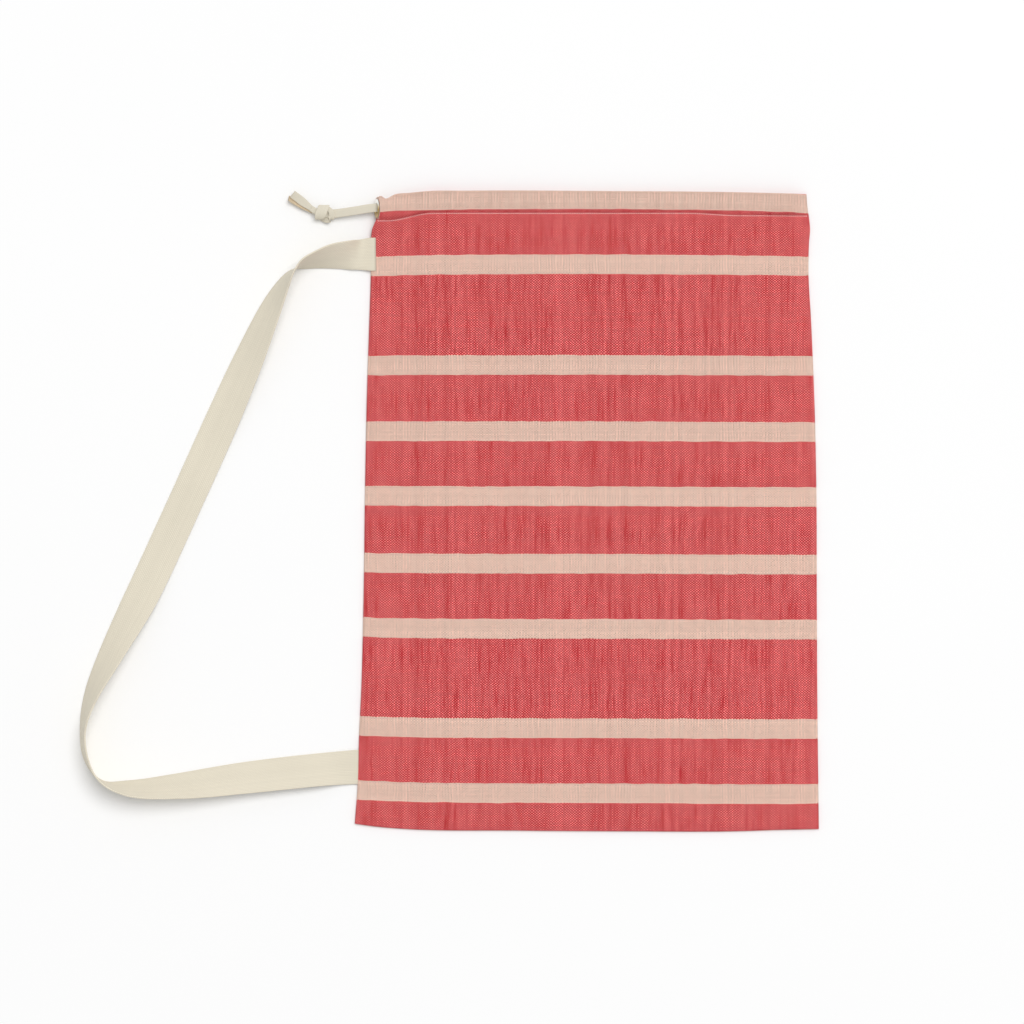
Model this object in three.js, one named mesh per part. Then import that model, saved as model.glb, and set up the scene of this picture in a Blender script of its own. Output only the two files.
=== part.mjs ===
// A small cotton laundry bag lying flat on its back, with a webbing shoulder strap laid out
// beside it and a flat drawstring that leaves its casing through one brass eyelet.
// Millimetres. +Z is up, +Y points to the mouth and the strap lies on the -X side.
// The origin is on the surface that the bag rests on, under the middle of the whole object.
import * as THREE from 'three';

// ---- Driving dimensions ----
const CLOTH = 0.7;             // thickness of one ply of cloth
const GAP = 0.3;               // air between pieces that touch
const BODY_ROOM = 8.1;         // height of the space inside the bag
const MOUTH_ROOM = 5.6;        // height of the open mouth between the turned plies
const SEAM_ROOM = 3.5;         // what the sewn edges hold between the two panels
const SLOPE = 60;              // how far a panel climbs from a seam to its full height
const CASING_TOP = 354;        // folded edge of the casing
const CASING_FOOT = 327;       // raw edge of the turned ply
const TAPE_WIDTH = 9.5;
const TAPE_THICKNESS = 1.2;
const STRAP_WIDTH = 38.1;      // one and a half inch webbing
const STRAP_THICKNESS = 1.9;
const EYELET_HOLE = 5.25;      // radii of the eyelet
const EYELET_RIM = 10.5;
const EYELET_LEAN = 17;        // degrees that the eyelet looks up from level
const THREAD = 0.5;

// ---- Heights of the plies at the mouth, from the bottom up ----
const backTapeLow = CLOTH + GAP;
const backHemLow = backTapeLow + TAPE_THICKNESS + GAP;
const mouthLow = backHemLow + CLOTH;
const mouthHigh = mouthLow + MOUTH_ROOM;
const frontTapeLow = mouthHigh + CLOTH + GAP;
const mouthUnder = frontTapeLow + TAPE_THICKNESS + GAP;
const seamUnder = CLOTH + SEAM_ROOM;
const bodyUnder = CLOTH + BODY_ROOM;

// ---- Outline of the two panels, seen from above ----
const corners = {
  bottomLeft: [-104.8, -347],
  bottomRight: [409.9, -353],
  topRight: [396.5, 351.5],
  topLeft: [-76, 349],
};
const spline = (...points) => new THREE.SplineCurve(points.map(([x, y]) => new THREE.Vector2(x, y)));
const outline = {
  left: spline(corners.bottomLeft, [-100, -255], [-94, 0], [-88.8, 206], [-84.8, 285], corners.topLeft),
  right: spline(corners.bottomRight, [408, -100], [405, 123], [399.4, 240], corners.topRight),
  bottom: spline(corners.bottomLeft, [-20, -353.3], [160, -356], [330, -355.6], corners.bottomRight),
  top: spline(corners.topLeft, [-30, 354.7], [60, 356], [260, 354.5], corners.topRight),
};

const colours = {
  cloth: 0xcd585a,
  webbing: 0xe0d9c4,
  tape: 0xded9c8,
  brass: 0xb5965a,
  thread: 0xe6c8c0,
};

// ---- Helpers ----
const lerp = THREE.MathUtils.lerp;
const smooth = (t) => THREE.MathUtils.smoothstep(t, 0, 1);
const crowdToEnds = (t) => 0.5 - 0.5 * Math.cos(Math.PI * t);

// A thin plate: a grid of columns by rows, one cell thick. place(u, v, w) moves each corner;
// u and v run from 0 to 1 over the plate, and w is 0 on its underside and 1 on top.
function bentPlate(columns, rows, place) {
  const geometry = new THREE.BoxGeometry(1, 1, 1, columns, rows, 1).translate(0.5, 0.5, 0.5);
  const position = geometry.getAttribute('position');
  for (let i = 0; i < position.count; i += 1) {
    const point = place(position.getX(i), position.getY(i), position.getZ(i));
    position.setXYZ(i, point.x, point.y, point.z);
  }
  geometry.computeVertexNormals();
  return geometry;
}

// A flat band along a curve. across(tangent) gives the direction of its width.
const leftOf = (tangent) => new THREE.Vector3(-tangent.y, tangent.x, 0).normalize();
function band(points, steps, width, thickness, across = leftOf) {
  const curve = new THREE.CatmullRomCurve3(points.map((p) => new THREE.Vector3(...p)), false, 'centripetal');
  return bentPlate(steps, 1, (u, v, w) => {
    const tangent = curve.getTangent(u);
    const side = across(tangent);
    const normal = new THREE.Vector3().crossVectors(tangent, side);
    return curve.getPoint(u)
      .addScaledVector(side, (v - 0.5) * width)
      .addScaledVector(normal, (w - 0.5) * thickness);
  });
}

const bag = new THREE.Group();
function add(name, geometry, colour, { metalness = 0, roughness = 0.9, parent = bag } = {}) {
  const material = new THREE.MeshStandardMaterial({ color: colour, roughness, metalness });
  const mesh = new THREE.Mesh(geometry, material);
  mesh.name = name;
  parent.add(mesh);
  return mesh;
}

// ---- Cloth panels ----
// A point of the outline's surface: the four edge curves blended across the panel.
function onPanel(u, v) {
  const left = outline.left.getPointAt(v);
  const right = outline.right.getPointAt(v);
  const bottom = outline.bottom.getPointAt(u);
  const top = outline.top.getPointAt(u);
  const corner = (axis) => lerp(
    lerp(corners.bottomLeft[axis], corners.bottomRight[axis], u),
    lerp(corners.topLeft[axis], corners.topRight[axis], u),
    v,
  );
  return new THREE.Vector2(
    lerp(left.x, right.x, u) + lerp(bottom.x, top.x, v) - corner(0),
    lerp(left.y, right.y, u) + lerp(bottom.y, top.y, v) - corner(1),
  );
}

// The straight lines that the side seams nearly follow.
const leftLine = (y) => lerp(corners.bottomLeft[0], corners.topLeft[0], (y + 350) / 700);
const rightLine = (y) => lerp(corners.bottomRight[0], corners.topRight[0], (y + 350) / 700);

// Height of the front panel's underside. It climbs from the seams, stands higher over the
// casing, and highest where the casing's left end is held open by the eyelet.
const EYELET_CREST = 22;
function frontUnder(x, y) {
  const fromLeft = x - leftLine(y);
  const fromRight = rightLine(y) - x;
  const fromBottom = y + 350;
  const climb = smooth(fromLeft / SLOPE) * smooth(fromRight / SLOPE) * smooth(fromBottom / SLOPE);
  const body = lerp(seamUnder, bodyUnder, climb);
  const crest = 1 - smooth(fromLeft / 66);
  const casing = lerp(seamUnder, lerp(mouthUnder, EYELET_CREST, crest), smooth(fromRight / 12));
  return lerp(body, casing, smooth((y - 298) / 24));
}

add('back_panel', bentPlate(12, 12, (u, v, w) => {
  const spot = onPanel(u, v);
  return new THREE.Vector3(spot.x, spot.y, w * CLOTH);
}), colours.cloth);

add('front_panel', bentPlate(20, 22, (u, v, w) => {
  const spot = onPanel(crowdToEnds(u), crowdToEnds(v));
  return new THREE.Vector3(spot.x, spot.y, frontUnder(spot.x, spot.y) + w * CLOTH);
}), colours.cloth);

// ---- Casing: the mouth edge of each panel turned inwards, which makes the cord tunnel ----
// Across its depth the turned ply bows away from its panel and comes back to it at both edges.
const HEM_LEFT = -28;
const HEM_RIGHT = 376;
const HEM_LIP = 0.2;           // share of the depth over which the ply bows
const hemBow = (v) => smooth(v / HEM_LIP) * smooth((1 - v) / HEM_LIP);
function hem(near, far) {
  return bentPlate(6, 12, (u, v, w) => new THREE.Vector3(
    lerp(HEM_LEFT, HEM_RIGHT, u),
    lerp(CASING_FOOT, CASING_TOP - 2, v),
    lerp(near, far, hemBow(v)) + w * CLOTH,
  ));
}
add('back_casing_hem', hem(backTapeLow, backHemLow), colours.cloth);
add('front_casing_hem', hem(mouthUnder - GAP - CLOTH, mouthHigh), colours.cloth);

// ---- Left end of the casing: a wall of cloth with the eyelet set in it ----
// In this group +Z looks out through the eyelet and +X points up the wall.
const eyeletSpot = new THREE.Vector3(-79, 336, 11.2);
const casingEnd = new THREE.Group();
casingEnd.position.copy(eyeletSpot);
casingEnd.rotation.y = THREE.MathUtils.degToRad(EYELET_LEAN - 90);
bag.add(casingEnd);

const BARREL = EYELET_HOLE + 0.6;
const WALL_HOLE = BARREL + GAP;
const WALL_HALF_HEIGHT = 10.5;
const WALL_HALF_WIDTH = 12.5;
const wallShape = new THREE.Shape();
wallShape.absellipse(0, 0, WALL_HALF_HEIGHT, WALL_HALF_WIDTH, 0, 2 * Math.PI);
const wallHole = new THREE.Path();
wallHole.absarc(0, 0, WALL_HOLE, 0, 2 * Math.PI, true);
wallShape.holes.push(wallHole);
const wall = new THREE.ExtrudeGeometry(wallShape, { depth: CLOTH, bevelEnabled: false, curveSegments: 24 });
add('casing_end_wall', wall.translate(0, 0, -CLOTH / 2), colours.cloth, { parent: casingEnd });

// A ring turned round the group's Z axis from a closed profile of [radius, height] points.
function turned(profile) {
  const points = [...profile, profile[0]].map(([radius, height]) => new THREE.Vector2(radius, height));
  return new THREE.LatheGeometry(points, 28).rotateX(Math.PI / 2);
}
const SHEET = 0.8;             // thickness of the brass
const flangeLow = CLOTH / 2 + GAP;
const washerTop = -flangeLow;
const washerLow = washerTop - SHEET;
const curlTop = washerLow - GAP;
add('eyelet_barrel', turned([
  [EYELET_HOLE, curlTop - SHEET],
  [BARREL + 1.6, curlTop - SHEET],
  [BARREL + 1.6, curlTop],
  [BARREL, curlTop],
  [BARREL, flangeLow],
  [EYELET_RIM, flangeLow],
  [EYELET_RIM, flangeLow + 0.4],
  [EYELET_RIM - 1.6, flangeLow + 1.1],
  [EYELET_HOLE + 1.6, flangeLow + 1.1],
  [EYELET_HOLE, flangeLow + 0.4],
]), colours.brass, { metalness: 1, roughness: 0.35, parent: casingEnd });
add('eyelet_washer', turned([
  [WALL_HOLE, washerLow],
  [EYELET_RIM - 0.3, washerLow],
  [EYELET_RIM - 0.3, washerTop],
  [WALL_HOLE, washerTop],
]), colours.brass, { metalness: 1, roughness: 0.35, parent: casingEnd });

// ---- Drawstring ----
// One flat tape: out along the front of the casing, round the right end, back along the
// rear, and both ends out through the eyelet, one on the other, to a knot.
const alongY = () => new THREE.Vector3(0, 1, 0);
const strandRise = (TAPE_THICKNESS + GAP) / 2;
const tapeY = 340;
const frontTape = frontTapeLow + TAPE_THICKNESS / 2;
const backTape = backTapeLow + TAPE_THICKNESS / 2;
const turnMiddle = (frontTape + backTape) / 2;
const loopStart = eyeletSpot.x + 5;
add('drawstring_loop', band([
  [loopStart, eyeletSpot.y, eyeletSpot.z + strandRise],
  [loopStart + 14, eyeletSpot.y, eyeletSpot.z + strandRise],
  [HEM_LEFT - 6, tapeY - 1, frontTape + 0.2],
  [HEM_LEFT + 14, tapeY, frontTape],
  [HEM_RIGHT - 14, tapeY, frontTape],
  [HEM_RIGHT - 4, tapeY, frontTape],
  [HEM_RIGHT + 4, tapeY, frontTape - 1.2],
  [HEM_RIGHT + 6, tapeY, turnMiddle],
  [HEM_RIGHT + 4, tapeY, backTape + 1.2],
  [HEM_RIGHT - 4, tapeY, backTape],
  [HEM_RIGHT - 14, tapeY, backTape],
  [HEM_LEFT + 20, tapeY, backTape],
  [HEM_LEFT - 2, tapeY, backTape],
  [HEM_LEFT - 6, tapeY, backTape],
  [HEM_LEFT - 18, tapeY - 2, backTape + 4.6],
  [loopStart + 13, eyeletSpot.y, eyeletSpot.z - strandRise - 0.3],
  [loopStart, eyeletSpot.y, eyeletSpot.z - strandRise],
], 84, TAPE_WIDTH, TAPE_THICKNESS, alongY), colours.tape);

const knotCentre = new THREE.Vector3(-139, 329.5, 6.6);
const knotReach = 11;
const strandStart = loopStart - GAP;
function strand(lift) {
  return band([
    [strandStart, eyeletSpot.y, eyeletSpot.z + lift],
    [eyeletSpot.x - 7, eyeletSpot.y - 0.6, eyeletSpot.z + lift],
    [-104, 332.6, 9.4 + lift],
    [knotCentre.x + knotReach + 1, knotCentre.y + 0.6, knotCentre.z + lift],
  ], 16, TAPE_WIDTH, TAPE_THICKNESS);
}
add('drawstring_upper_strand', strand(strandRise), colours.tape);
add('drawstring_lower_strand', strand(-strandRise), colours.tape);

const knot = new THREE.SphereGeometry(1, 16, 10).scale(knotReach, 9.5, 6.6);
add('drawstring_knot', knot, colours.tape).position.copy(knotCentre);

add('drawstring_upper_tail', band([
  [-151.5, 334.5, 6.8],
  [-158, 340, 6.2],
  [-173, 351, 4.4],
], 8, TAPE_WIDTH, TAPE_THICKNESS), colours.tape);
add('drawstring_lower_tail', band([
  [-151.5, 332.5, 5],
  [-160, 336, 3.6],
  [-178, 345, 1.8],
], 8, TAPE_WIDTH, TAPE_THICKNESS), colours.tape);

// ---- Shoulder strap ----
// The strap hangs on a line just outside the left seam, through both of its sewn-in ends.
const HINGE_HEIGHT = CLOTH + GAP + STRAP_THICKNESS / 2;
const hingeX = (y) => -95.8 + 0.0302 * y;
const HINGE_CLEAR = 0.4;

// Stations along the webbing: the edge that stays low, then the edge that rises, both seen
// from above. Where they come together the webbing stands on its low edge. It rolls over at
// the upper bend and back again at the far bend, as flat webbing does to turn a corner.
const strapStations = [
  [hingeX(266.2) - HINGE_CLEAR, 266.2, hingeX(304.2) - HINGE_CLEAR, 304.2],
  [-108, 268.5, -111, 297.5],
  [-128, 269.5, -130.5, 293.5],
  [-148, 269.5, -148, 285],
  [-161, 268.8, -160, 278],
  [-173, 267.3, -168, 268],
  [-184, 260, -173, 256],
  [-205, 234, -184.5, 222.5],
  [-234, 181, -206.5, 161.5],
  [-272, 101, -238.5, 83],
  [-308, 21, -273.5, 5.5],
  [-357, -85, -321.5, -98.5],
  [-388, -156.5, -364, -169],
  [-403, -200, -388.5, -209.5],
  [-408.7, -238.5, -400.5, -241],
  [-405, -274, -398.5, -271],
  [-386.5, -299, -386, -297.8],
  [-353, -299.5, -357, -314.5],
  [-298.5, -290.7, -296, -318],
  [-225, -278, -220, -312.5],
  [-143, -268.5, -140.5, -304.7],
  [hingeX(-265) - HINGE_CLEAR, -265, hingeX(-303) - HINGE_CLEAR, -303],
];
const plan = (x, y) => new THREE.Vector3(x, y, 0);
const strapEdges = {
  low: new THREE.CatmullRomCurve3(strapStations.map(([x, y]) => plan(x, y)), false, 'centripetal'),
  high: new THREE.CatmullRomCurve3(strapStations.map(([, , x, y]) => plan(x, y)), false, 'centripetal'),
};

// Both edges at t, with the height that the webbing's full width leaves them.
function strapEdgesAt(t) {
  const low = strapEdges.low.getPoint(t);
  const high = strapEdges.high.getPoint(t);
  const seen = Math.min(low.distanceTo(high), STRAP_WIDTH);
  const atEnds = 1 - smooth(Math.min(t, 1 - t) / 0.06);
  const bottom = STRAP_THICKNESS / 2 * (seen / STRAP_WIDTH);
  low.z = lerp(bottom, HINGE_HEIGHT, atEnds);
  high.z = low.z + Math.sqrt(STRAP_WIDTH ** 2 - seen ** 2) * (1 - atEnds);
  return { low, high };
}

const STRAP_STEPS = 84;
add('shoulder_strap', bentPlate(STRAP_STEPS, 1, (u, v, w) => {
  const { low, high } = strapEdgesAt(u);
  const before = strapEdgesAt(Math.max(u - 0.004, 0));
  const after = strapEdgesAt(Math.min(u + 0.004, 1));
  const along = after.low.add(after.high).sub(before.low).sub(before.high).normalize();
  const normal = new THREE.Vector3().crossVectors(along, low.clone().sub(high)).normalize();
  return high.lerp(low, v).addScaledVector(normal, (w - 0.5) * STRAP_THICKNESS);
}), colours.webbing);

// The ends of the webbing, caught between the panels in the left seam.
const TAB_CLEAR = 1.6;
const TAB_LENGTH = 14;
function strapTab(low, high) {
  return bentPlate(1, 1, (u, v, w) => {
    const y = lerp(low, high, v);
    return new THREE.Vector3(
      hingeX(y) + TAB_CLEAR + u * TAB_LENGTH,
      y,
      HINGE_HEIGHT + (w - 0.5) * STRAP_THICKNESS,
    );
  });
}
add('strap_tab_top', strapTab(266.2, 304.2), colours.webbing);
add('strap_tab_bottom', strapTab(-303, -265), colours.webbing);

// ---- Stitching ----
// The seams inside the edges, each a thread standing between the two panels. The left one
// runs over the strap's ends.
const SEAM_INSET = 1.4;
const seamLow = CLOTH + GAP;
const seamHigh = seamUnder - GAP;
const overTab = HINGE_HEIGHT + STRAP_THICKNESS / 2 + GAP;
const onTab = (y) => Math.abs(Math.abs(y) - 284.6) < 34;
function sideSeam(line, inset, top) {
  return bentPlate(48, 1, (u, v, w) => {
    const spot = line.getPointAt(lerp(0.012, top, u));
    const low = inset > 0 && onTab(spot.y) ? overTab : seamLow;
    return new THREE.Vector3(
      spot.x + inset + (0.5 - v) * THREAD,
      spot.y,
      lerp(low, seamHigh, w),
    );
  });
}
add('left_seam_stitching', sideSeam(outline.left, SEAM_INSET + 0.8, 0.925), colours.thread);
add('right_seam_stitching', sideSeam(outline.right, -SEAM_INSET, 0.99), colours.thread);
add('bottom_seam_stitching', bentPlate(16, 1, (u, v, w) => {
  const spot = outline.bottom.getPointAt(lerp(0.012, 0.988, u));
  return new THREE.Vector3(spot.x, spot.y + SEAM_INSET + (v - 0.5) * THREAD, lerp(seamLow, seamHigh, w));
}), colours.thread);

// The line that closes the casing: on the outside of the front, and inside the mouth on the rear.
const STITCH_RIGHT = 372;
const STITCH_LIFT = 1.2;       // clears the flat facets of the panel below
const casingLine = (x) => 329.5 - 2.4 * smooth((x - 150) / 200) - 4 * (1 - smooth((x + 60) / 60));
add('front_casing_stitching', bentPlate(40, 1, (u, v, w) => {
  const x = lerp(-62, STITCH_RIGHT, u);
  const y = casingLine(x) + (v - 0.5) * THREAD;
  return new THREE.Vector3(x, y, frontUnder(x, y) + CLOTH + STITCH_LIFT + w * THREAD);
}), colours.thread);
add('back_casing_stitching', bentPlate(10, 1, (u, v, w) => new THREE.Vector3(
  lerp(HEM_LEFT + 2, STITCH_RIGHT, u),
  CASING_FOOT + 1.2 + (v - 0.5) * THREAD,
  mouthLow + GAP + w * THREAD,
)), colours.thread);

export default bag;
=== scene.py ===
"""Blender model of a cotton laundry bag with a webbing shoulder strap and a flat drawstring.

Shapes are worked out in millimetres in the frame of the CAD model and become metres when a
mesh is made: x runs to the right along the mouth, y from the bottom to the mouth, and z up
from the floor. Cloth, webbing and tape carry UVs in metres of real thread, so their weave has
its true size and stays with them when they bend.
"""
import math

import bpy
import numpy as np
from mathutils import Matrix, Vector


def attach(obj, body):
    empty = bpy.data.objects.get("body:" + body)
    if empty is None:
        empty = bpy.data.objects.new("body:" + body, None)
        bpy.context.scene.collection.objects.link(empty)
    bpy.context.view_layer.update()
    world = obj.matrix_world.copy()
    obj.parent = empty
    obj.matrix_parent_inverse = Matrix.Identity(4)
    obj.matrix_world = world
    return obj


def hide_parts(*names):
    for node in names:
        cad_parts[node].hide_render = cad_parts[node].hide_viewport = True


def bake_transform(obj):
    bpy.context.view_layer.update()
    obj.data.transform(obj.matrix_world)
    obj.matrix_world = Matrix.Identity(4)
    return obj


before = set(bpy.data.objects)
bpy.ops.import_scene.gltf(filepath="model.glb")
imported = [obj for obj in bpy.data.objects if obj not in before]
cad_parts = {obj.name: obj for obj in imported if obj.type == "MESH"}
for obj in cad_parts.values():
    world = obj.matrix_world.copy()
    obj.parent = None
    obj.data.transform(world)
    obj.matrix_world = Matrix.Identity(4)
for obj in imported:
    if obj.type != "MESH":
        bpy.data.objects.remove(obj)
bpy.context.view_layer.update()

MM = 0.001

# ---- Sizes that the CAD model also has, in millimetres ----
EYELET = np.array([-79.0, 335.2, 11.2])
EYELET_LEAN = math.radians(17)
EYELET_HOLE = 5.25
EYELET_RIM = 10.5
END_HALF_HEIGHT = 10.5  # the casing's left end, which the eyelet holds open
END_HALF_WIDTH = 12.5
TAPE_WIDTH = 9.5
TAPE_THICKNESS = 1.2
STRAP_WIDTH = 38.1
STRAP_THICKNESS = 1.9
HINGE_X_AT_ZERO = -95.8
HINGE_LEAN = 0.0302
HINGE_HEIGHT = 1.95
CLOTH = 0.6
BACK_LIE = 0.35  # middle of the back cloth, above the floor
SEAM_HEIGHT = 1.6  # where the two panels meet along the sewn edges


# ---- Camera, light and floor ----
def add_camera():
    """Straight above the bag; the frame is 1136 mm wide on the floor."""
    data = bpy.data.cameras.new("camera")
    data.lens = 200
    data.sensor_width = 36
    camera = bpy.data.objects.new("camera", data)
    camera.location = (0.0699, -0.0011, 6.311)
    bpy.context.scene.collection.objects.link(camera)
    bpy.context.scene.camera = camera


def add_light(name, location, size, power, aim):
    """A round area light, its place, size and aim in metres and its power in watts."""
    data = bpy.data.lights.new(name, "AREA")
    data.shape = "DISK"
    data.size = size
    data.energy = power
    light = bpy.data.objects.new(name, data)
    light.location = location
    toward = Vector(aim) - Vector(location)
    light.rotation_euler = toward.to_track_quat("-Z", "Y").to_euler()
    bpy.context.scene.collection.objects.link(light)


def add_world(strength):
    world = bpy.data.worlds.new("studio")
    bpy.context.scene.world = world
    world.use_nodes = True
    background = world.node_tree.nodes["Background"]
    background.inputs["Color"].default_value = (1, 1, 1, 1)
    background.inputs["Strength"].default_value = strength


def add_floor():
    square = np.array([(-1, -1, 0), (1, -1, 0), (1, 1, 0), (-1, 1, 0)])
    points = 8000 * square + np.array([0, 0, -0.3])
    return add_mesh("floor", points, [(0, 1, 2, 3)], (square[:, :2] + 1) / 2, floor_material(0.945))


# ---- Small helpers for numbers ----
def smooth(t):
    """0 up to t = 0, 1 from t = 1 on, and an even curve between."""
    t = np.clip(t, 0, 1)
    return t * t * (3 - 2 * t)


def lerp(a, b, t):
    return a + (b - a) * t


def round_over(distance, radius):
    """0 at an edge and 1 a radius inside it, along a quarter circle."""
    t = np.clip(distance / radius, 0, 1)
    return np.sqrt(np.maximum(1 - (1 - t) ** 2, 0))


def rows_of(*columns):
    """Columns of numbers, or single numbers, side by side."""
    return np.stack(np.broadcast_arrays(*columns), axis=1)


def unit(vectors):
    return vectors / np.linalg.norm(vectors, axis=-1, keepdims=True)


def square_to(vectors, along):
    """One vector or many, made square to the unit vectors along."""
    return vectors - along * np.sum(vectors * along, axis=1)[:, None]


def run_along(points):
    """Distance of each point from the first, measured along the points."""
    return np.concatenate([[0], np.cumsum(np.linalg.norm(np.diff(points, axis=0), axis=1))])


def running_mean(values, reach):
    """Each value averaged with this many neighbours on either side."""
    count = 2 * reach + 1
    return np.convolve(np.pad(values, reach, mode="edge"), np.ones(count) / count, "valid")


def through(knots, values):
    """A smooth function of one variable through given points."""
    knots = np.array(knots, float)
    values = np.array(values, float)
    slopes = np.gradient(values, knots)

    def at(x):
        x = np.clip(x, knots[0], knots[-1])
        i = np.clip(np.searchsorted(knots, x, side="right") - 1, 0, len(knots) - 2)
        span = knots[i + 1] - knots[i]
        t = (x - knots[i]) / span
        start = values[i] * (1 + 2 * t) * (1 - t) ** 2 + span * slopes[i] * t * (1 - t) ** 2
        finish = values[i + 1] * t * t * (3 - 2 * t) - span * slopes[i + 1] * t * t * (1 - t)
        return start + finish

    return at


def spline(points, steps):
    """Evenly spaced rows along a smooth curve through rows of numbers, and the curve's length.
    The first three numbers of a row are its place."""
    points = np.array(points, float)
    gaps = np.linalg.norm(np.diff(points[:, :3], axis=0), axis=1)
    knots = np.concatenate([[0], np.cumsum(np.sqrt(gaps))])
    fine = np.linspace(0, knots[-1], 40 * len(points))
    dense = np.stack([through(knots, column)(fine) for column in points.T], axis=1)
    run = run_along(dense[:, :3])
    even = np.linspace(0, run[-1], steps)
    return np.stack([np.interp(even, run, column) for column in dense.T], axis=1), run[-1]


def between(first, second, t, start, end):
    """The straight blend that is all first where t is start and all second where it is end."""
    return ((end - t) * first + (t - start) * second) / (end - start)


def centripetal(stations, count):
    """Catmull-Rom curve through stations, with count points to each stretch between two."""
    points = np.array(stations, float)
    points = np.vstack([2 * points[0] - points[1], points, 2 * points[-1] - points[-2]])
    out = []
    for i in range(1, len(points) - 2):
        p = points[i - 1:i + 3]
        gaps = np.maximum(np.linalg.norm(np.diff(p, axis=0), axis=1), 0.01)
        knots = np.concatenate([[0], np.cumsum(np.sqrt(gaps))])
        t = np.linspace(knots[1], knots[2], count, endpoint=i == len(points) - 3)[:, None]
        a = [between(p[j], p[j + 1], t, knots[j], knots[j + 1]) for j in range(3)]
        b = [between(a[j], a[j + 1], t, knots[j], knots[j + 2]) for j in range(2)]
        out.append(between(b[0], b[1], t, knots[1], knots[2]))
    return np.vstack(out)


def crowded(total, step):
    """Shares of a length, close together at both ends and even between."""
    margins = np.array([0, 0.12, 0.4, 0.85, 1.4, 2.0, 3.0, 4.5, 6.5, 9.5])
    count = int((total - 2 * margins[-1]) / step)
    middle = np.linspace(margins[-1], total - margins[-1], count + 1)[1:-1]
    return np.concatenate([margins, middle, (total - margins)[::-1]]) / total


# ---- Small helpers for meshes ----
def add_mesh(name, points, faces, uvs, material):
    """A smooth mesh object from points and per-point UVs, both in millimetres."""
    mesh = bpy.data.meshes.new(name)
    mesh.from_pydata((points * MM).tolist(), [], faces)
    layer = mesh.uv_layers.new(name="thread")
    corners = np.zeros(len(mesh.loops), np.int64)
    mesh.loops.foreach_get("vertex_index", corners)
    layer.data.foreach_set("uv", (uvs[corners] * MM).ravel())
    mesh.materials.append(material)
    mesh.polygons.foreach_set("use_smooth", [True] * len(mesh.polygons))
    mesh.update()
    obj = bpy.data.objects.new(name, mesh)
    bpy.context.scene.collection.objects.link(obj)
    return obj


def add_grid(name, points, uvs, faces, material):
    """A mesh object whose points and UVs are laid out in rows."""
    return add_mesh(name, points.reshape(-1, 3), faces, uvs.reshape(-1, 2), material)


def grid_faces(rows, columns, wrap=False):
    """Quads of a grid; with wrap, its last column joins its first."""
    faces = []
    for i in range(rows - 1):
        here, above = i * columns, (i + 1) * columns
        for j in range(columns if wrap else columns - 1):
            k = (j + 1) % columns
            faces.append((here + j, here + k, above + k, above + j))
    return faces


def add_cloth(name, points, uvs, material, wrap=False):
    """A sheet from a grid of points, with the thickness of the cloth."""
    rows, columns = points.shape[:2]
    obj = add_grid(name, points, uvs, grid_faces(rows, columns, wrap), material)
    ply = obj.modifiers.new("ply", "SOLIDIFY")
    ply.thickness = CLOTH * MM
    ply.offset = 0
    return obj


def ribbon_profile(width, thickness):
    """Outline of a flat band with rounded selvedges, as (across, up) points."""
    radius = thickness / 2
    flat = width / 2 - radius
    across = np.linspace(flat, -flat, 9)
    turn = [math.pi / 2 * k / 3 for k in range(1, 6)]
    top = [(x, radius) for x in across]
    left = [(-flat - radius * math.sin(a), radius * math.cos(a)) for a in turn]
    half = np.array(top + left)
    return np.vstack([half, -half])


def add_ribbon(name, middles, sides, width, thickness, material, scales=1.0):
    """A flat band along middles; sides is the direction of its width, everywhere or at each of
    them, and scales is how wide it is there as a share of width."""
    along = unit(np.gradient(middles, axis=0))
    sides = unit(square_to(unit(sides), along))
    up = np.cross(along, sides)
    profile = ribbon_profile(width, thickness)
    across, rise = profile[None, :, 0, None], profile[None, :, 1, None]
    scales = np.broadcast_to(scales, len(middles))[:, None, None]
    rings = middles[:, None, :] + across * scales * sides[:, None, :] + rise * up[:, None, :]
    run = run_along(middles)
    uvs = np.stack(np.broadcast_arrays(profile[None, :, 0], run[:, None]), axis=2)

    count = len(profile)
    faces = grid_faces(len(middles), count, wrap=True)
    last = (len(middles) - 1) * count
    for base, flip in ((0, False), (last, True)):
        for j in range(count // 2 - 1):
            quad = (base + j, base + j + 1, base + count - 2 - j, base + count - 1 - j)
            faces.append(quad[::-1] if flip else quad)
    return add_grid(name, rings, uvs, faces, material)


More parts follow.
